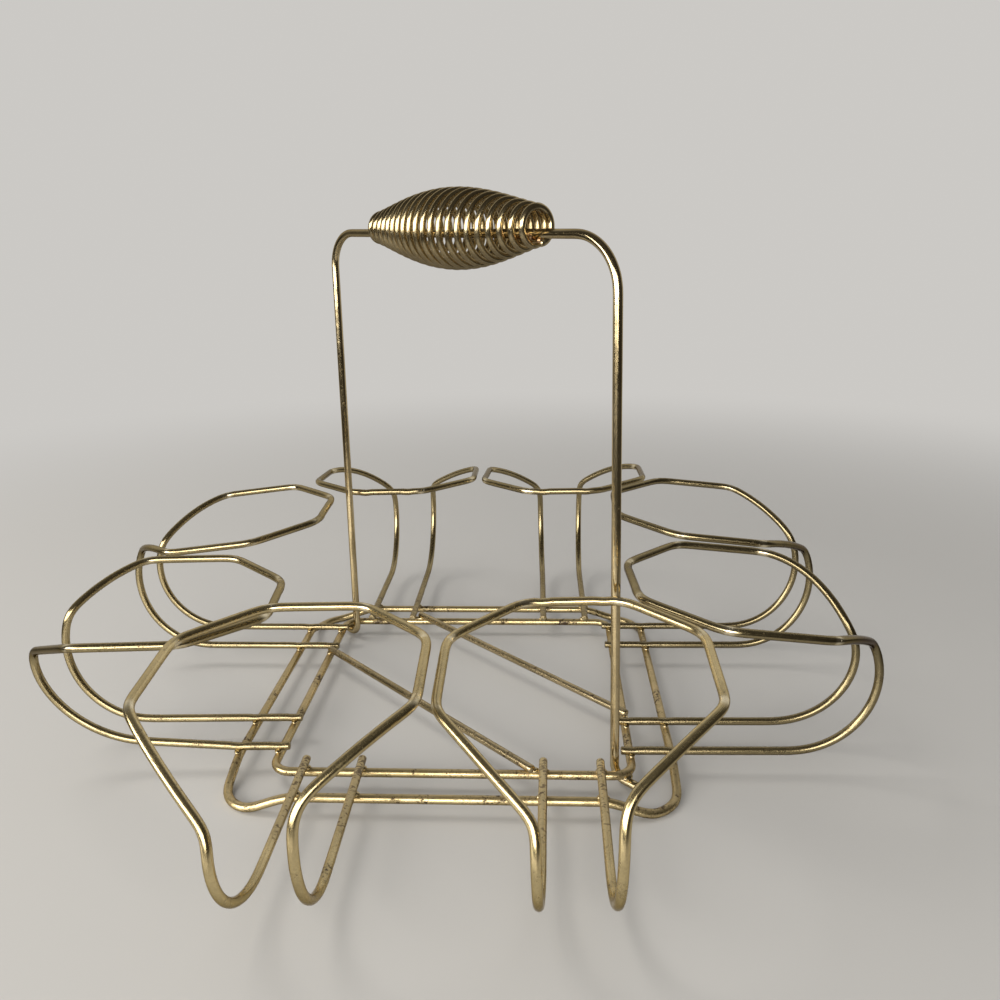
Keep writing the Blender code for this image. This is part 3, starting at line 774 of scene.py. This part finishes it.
def holderPath(look, name, bends):
    # gives the wire's path, and where the ring bends
    reach, firstRise, secondRise, ringRise = (
        look["bellyRadius"] * share for share in bends["moves"][1:])
    firstLeg = legPath(look, -1, reach, firstRise)
    secondLeg = legPath(look, 1, reach, secondRise)
    secondShoulder = look["secondShoulder"]
    if name == openedLeg["holder"]:
        openReach, openRise = (look["bellyRadius"] * openedLeg[move] for move in ("reach", "rise"))
        secondLeg = legPath(look, 1, openReach, openRise, openedLeg["growth"], openedLeg["climb"])
        secondShoulder = openedLeg["shoulder"]
    secondLeg.reverse()
    ring = ringBends(look, reach, ringRise, bends["turns"][1:])
    firstEdge = bowedEdge(look, firstLeg[-1], ring[0][0], bends["bows"][0])
    secondEdge = bowedEdge(look, secondLeg[0], ring[-1][0], bends["bows"][1])[::-1]
    ringPoints = [point for point, radius in ring]
    corners = firstLeg + firstEdge + ringPoints + secondEdge + secondLeg
    radii = [0] * (len(firstLeg) - 1) + [look["firstShoulder"]] + [0] * len(firstEdge)
    radii += [radius for point, radius in ring]
    radii += [0] * len(secondEdge) + [secondShoulder] + [0] * (len(secondLeg) - 1)
    return easedPath(filledPath(bentPath(corners, radii))), ringPoints


def holderPlace(look, bends):
    around = Matrix.Rotation(math.radians(bends["facing"]), 4, "Z")
    sideways = bends["side"] * look["offset"] + look["bellyRadius"] * bends["moves"][0]
    place = Matrix.Translation((outerFrame["half"], sideways, look["height"]))
    return around @ place @ Matrix.Rotation(math.radians(bends["turns"][0]), 4, "Z")


# the welder's tips left a shallow flat on top of each leg over the rails
pressMarks = {"reach": 2.8 * mm, "depth": 0.28 * mm}


def pressFlats(shape, centres, look):
    for vert in shape.verts:
        for centre in centres:
            away = (vert.co.xy - centre.xy).length / look["reach"]
            above = vert.co.z - centre.z
            if away < 1 and above > 0:
                vert.co.z -= look["depth"] * (1 - away ** 2) * min(1.0, above / (holder["wire"] / 2))


# the bending tool rubbed the wire bright at each bend of the ring, and the pale cream colour put there
# is partly a painted highlight
rubAndGlintSpots = {"reach": 3.5 * mm}


def pathLengths(path):
    # how far along the wire each point is
    lengths = [0.0]
    for before, after in zip(path, path[1:]):
        lengths.append(lengths[-1] + (after - before).length)
    return lengths


def rubAndGlintBends(shape, path, corners, look):
    # marks the vertices near each bend of the ring, for rubbed brass that is partly a painted highlight
    lengths = pathLengths(path)
    spots = []
    for corner in corners:
        away = [(point - corner).length for point in path]
        spots.append(lengths[away.index(min(away))])
    wirePlace = shape.verts.layers.float_vector["wirePlace"]
    rubAndGlint = shape.verts.layers.float.new("rubAndGlint")
    for vert in shape.verts:
        nearest = min(abs(vert[wirePlace].z - spot) for spot in spots)
        vert[rubAndGlint] = max(0.0, 1 - nearest / look["reach"])


def crossings(look, bends):
    # where the two legs lie over the inner and the outer rail
    place = holderPlace(look, bends)
    turned = math.radians(bends["turns"][0])
    gap = outerFrame["half"] - innerFrame["half"]
    found = []
    for side in (-1, 1):
        leg = side * look["legSpacing"] / 2
        for rail in (0.0, -gap):
            along = (rail + leg * math.sin(turned)) / math.cos(turned)
            found.append(place @ Vector((along, leg, 0)))
    return found


def makeHolder(look, name, bends):
    place = holderPlace(look, bends)
    path, ring = ([place @ point for point in points] for points in holderPath(look, name, bends))
    shape = sweepWire(path, look["wire"])
    pressFlats(shape, crossings(look, bends), pressMarks)
    rubAndGlintBends(shape, path, ring, rubAndGlintSpots)
    finish = dict(finishes["holderBrass"])
    # painted shade: this holder's plate colours are dimmed by its own share
    for tone in ("light", "deep", "edge"):
        finish[tone] = dimmed(finish[tone], bends["paintedLightShare"])
    material = makeFinish("holderBrass" + name, finish, pathLengths(path)[-1], bends["legWearAndShade"])
    finishPiece("holder" + name, shape, material, [bends["node"]])


for name, bends in handBends.items():
    makeHolder(holder, name, bends)

# every weld and drop of braze is an uneven bead. scatter: how far off its place it may sit
beads = {"fineness": 3, "scatter": 0.25 * mm}
# welds: a small pillow of metal squeezed out wherever two wires cross
weld = {
    "alongRail": 2.2 * mm, "acrossRail": 1.35 * mm, "halfHeight": 1.0 * mm,
    "unevenness": 0.10, "lumps": 420.0, "seed": 11,
}


def addBead(shape, centre, facing, radii, look, chance):
    # radii: along the rail, across it, and up
    made = bmesh.ops.create_icosphere(shape, subdivisions=beads["fineness"], radius=1.0)["verts"]
    sizes = [radius * chance.uniform(1 - look["unevenness"], 1 + look["unevenness"]) for radius in radii]
    bmesh.ops.scale(shape, vec=sizes, verts=made)
    bmesh.ops.rotate(shape, matrix=Matrix.Rotation(facing, 3, "Z"), verts=made)
    shift = Vector((chance.uniform(-1, 1), chance.uniform(-1, 1), 0)) * beads["scatter"]
    for vert in made:
        swell = noise.noise((vert.co + centre) * look["lumps"])
        vert.co *= 1 + look["unevenness"] * swell
    bmesh.ops.translate(shape, vec=centre + shift, verts=made)


def makeWelds(look):
    chance = random.Random(look["seed"])
    shape = bmesh.new()
    radii = (look["alongRail"], look["acrossRail"], look["halfHeight"])
    touch = (innerFrame["height"] + holder["height"]) / 2
    for bends in handBends.values():
        for centre in crossings(holder, bends):
            facing = math.radians(bends["facing"] + 90)
            addBead(shape, Vector((*centre.xy, touch)), facing, radii, look, chance)
    for end in sum(braceEnds, []):
        centre = Vector((*end.xy, touch))
        facing = 0.0
        if abs(end.x) > abs(end.y):
            centre.x = math.copysign(innerFrame["half"], end.x)
            facing = math.pi / 2
        else:
            centre.y = math.copysign(innerFrame["half"], end.y)
        addBead(shape, centre, facing, radii, look, chance)
    finishPiece("railWelds", shape, materials["weldBrass"])


makeWelds(weld)

# the handle's toes are welded up under the inner frame's corners
toeWeld = {
    "length": 2.6 * mm, "width": 1.6 * mm, "halfHeight": 1.1 * mm,
    "unevenness": 0.10, "lumps": 380.0, "seed": 5,
}


def makeToeWelds(look):
    chance = random.Random(look["seed"])
    shape = bmesh.new()
    for side in (-1, 1):
        centre = diagonal @ Vector((side * handle["cornerReach"], 0, -handle["toeDepth"] / 2))
        radii = (look["width"], look["length"], look["halfHeight"])
        addBead(shape, centre, diagonalTurn, radii, look, chance)
    finishPiece("toeWelds", shape, materials["weldBrass"])


makeToeWelds(toeWeld)

# the coil's ends are brazed to the bar, and the braze has run a little way along it
braze = {
    "inwards": 5.5 * mm, "halfLength": 6.0 * mm, "radius": 1.85 * mm, "sag": 0.35 * mm,
    "tip": (1.3 * mm, 1.1 * mm, 0.9 * mm),     # where the coil's end meets the bar
    "tipInwards": 0.4 * mm, "tipRise": 1.0 * mm,
    "unevenness": 0.08, "lumps": 260.0, "seed": 3,
}


def makeBraze(look):
    chance = random.Random(look["seed"])
    shape = bmesh.new()
    radii = (look["halfLength"], look["radius"], look["radius"])
    for end, turn in ((-1, 0), (1, grip["turns"])):
        along = coilPlace(grip, turn) - end * look["inwards"]
        centre = diagonal @ Vector((along, 0, barHeight(handle, along) - look["sag"]))
        addBead(shape, centre, diagonalTurn, radii, look, chance)
        tip = coilPoint(grip, turn) + Vector((-end * look["tipInwards"], 0, look["tipRise"]))
        addBead(shape, diagonal @ tip, diagonalTurn, look["tip"], look, chance)
    finishPiece("gripBraze", shape, materials["brazeCopper"])


makeBraze(braze)

# a pale floor that fades into the backdrop, which only the camera and reflections see. metal also
# shows the floor's polish, and the dim room in front of the carrier
stage = {
    "floorColour": (0.56, 0.55, 0.53),
    "floorRoughness": 0.20, "floorPolish": 0.5,
    "wallColour": (0.60, 0.585, 0.56),
    "highColour": (0.16, 0.155, 0.145),
    "wallUpTo": 0.60, "highFrom": 0.95,     # sines of the angle above the horizon
    "roomColour": (0.036, 0.032, 0.026),
    "roomFrom": 0.65, "roomTo": 0.10,       # how far back it starts and is whole
    "fill": (0.38, 0.38, 0.38),
    "floorRadius": 8.0, "floorSides": 96,
    "fadeFrom": 0.28, "fadeTo": 0.80,
    "mirroredFrom": 0.14, "mirroredTo": 0.40,     # where the floor that metal shows fades
}


def seenByMetal(tree):
    path = addNode(tree, "ShaderNodeLightPath")
    return combine("MAXIMUM", path.outputs["Is Glossy Ray"], path.outputs["Is Transmission Ray"])


def seenDirectly(tree):
    path = addNode(tree, "ShaderNodeLightPath")
    return combine("MAXIMUM", path.outputs["Is Camera Ray"], seenByMetal(tree))


def wallAndRoom(look, wall, backwards):
    # the camera sees the wall all round, metal sees it only behind the carrier
    room = spread(backwards, look["roomFrom"], look["roomTo"])
    return blend(combine("MULTIPLY", room, seenByMetal(backwards.id_data)), wall, look["roomColour"])


def makeFloor(look):
    shape = bmesh.new()
    bmesh.ops.create_circle(shape, cap_ends=True, segments=look["floorSides"],
                            radius=look["floorRadius"])
    mesh = bpy.data.meshes.new("paleFloor")
    shape.to_mesh(mesh)
    shape.free()
    floor = bpy.data.objects.new("paleFloor", mesh)
    bpy.context.scene.collection.objects.link(floor)
    material = bpy.data.materials.new("paleFloor")
    material.use_nodes = True
    tree = material.node_tree
    near = tree.nodes["Principled BSDF"]
    feed(near.inputs["Base Color"], look["floorColour"])
    feed(near.inputs["Roughness"], look["floorRoughness"])
    feed(near.inputs["Specular IOR Level"], combine("MULTIPLY", seenByMetal(tree), look["floorPolish"]))
    place = addNode(tree, "ShaderNodeTexCoord").outputs["Object"]
    measure = addNode(tree, "ShaderNodeVectorMath", operation="LENGTH")
    feed(measure.inputs[0], place)
    away = measure.outputs["Value"]
    backwards = combine("DIVIDE", onAxis(place, "Y"), away)
    far = addNode(tree, "ShaderNodeEmission")
    feed(far.inputs["Color"], wallAndRoom(look, look["wallColour"], backwards))
    fade = spread(away, look["fadeFrom"], look["fadeTo"])
    fade = combine("MULTIPLY", fade, seenDirectly(tree))
    mirrored = spread(away, look["mirroredFrom"], look["mirroredTo"])
    mirrored = combine("MULTIPLY", mirrored, seenByMetal(tree))
    mix = addNode(tree, "ShaderNodeMixShader")
    feed(mix.inputs["Fac"], combine("MAXIMUM", fade, mirrored))
    feed(mix.inputs[1], near.outputs["BSDF"])
    feed(mix.inputs[2], far.outputs["Emission"])
    feed(tree.nodes["Material Output"].inputs["Surface"], mix.outputs["Shader"])
    mesh.materials.append(material)


def makeWorld(look):
    world = bpy.data.worlds.new("studio")
    world.use_nodes = True
    bpy.context.scene.world = world
    tree = world.node_tree
    direction = addNode(tree, "ShaderNodeTexCoord").outputs["Generated"]
    high = spread(onAxis(direction, "Z"), look["wallUpTo"], look["highFrom"])
    wall = blend(high, look["wallColour"], look["highColour"])
    seen = wallAndRoom(look, wall, onAxis(direction, "Y"))
    background = tree.nodes["Background"]
    feed(background.inputs["Color"], blend(seenDirectly(tree), look["fill"], seen))
    feed(background.inputs["Strength"], 1.0)


makeFloor(stage)
makeWorld(stage)

# softboxes: two low ones in front for the long cream highlights, one above for the shadow
lampColour = (1.0, 0.965, 0.91)
lampAim = Vector((0, 0, 80 * mm))
lamps = {
    "frontSoftbox": {
        "place": (-0.19, -1.15, 0.36), "size": (0.94, 0.62), "watts": 9.5, "reflected": True,
    },
    "sideSoftbox": {
        "place": (-1.00, -0.68, 0.36), "size": (1.0, 0.62), "watts": 10.5, "reflected": True,
    },
    "topSoftbox": {
        "place": (-0.75, 0.25, 1.25), "size": (0.6, 0.6), "watts": 6.0, "reflected": False,
    },
}


def makeLamp(name, look):
    data = bpy.data.lights.new(name, "AREA")
    data.shape = "RECTANGLE"
    data.size, data.size_y = look["size"]
    data.energy = look["watts"]
    data.color = lampColour
    lamp = bpy.data.objects.new(name, data)
    bpy.context.scene.collection.objects.link(lamp)
    lamp.location = look["place"]
    lamp.visible_camera = False
    lamp.visible_glossy = look["reflected"]
    lamp.rotation_euler = (lampAim - lamp.location).to_track_quat("-Z", "Y").to_euler()


for name, look in lamps.items():
    makeLamp(name, look)
bpy.context.scene.view_settings.view_transform = "Standard"
print("stage and lamps set")
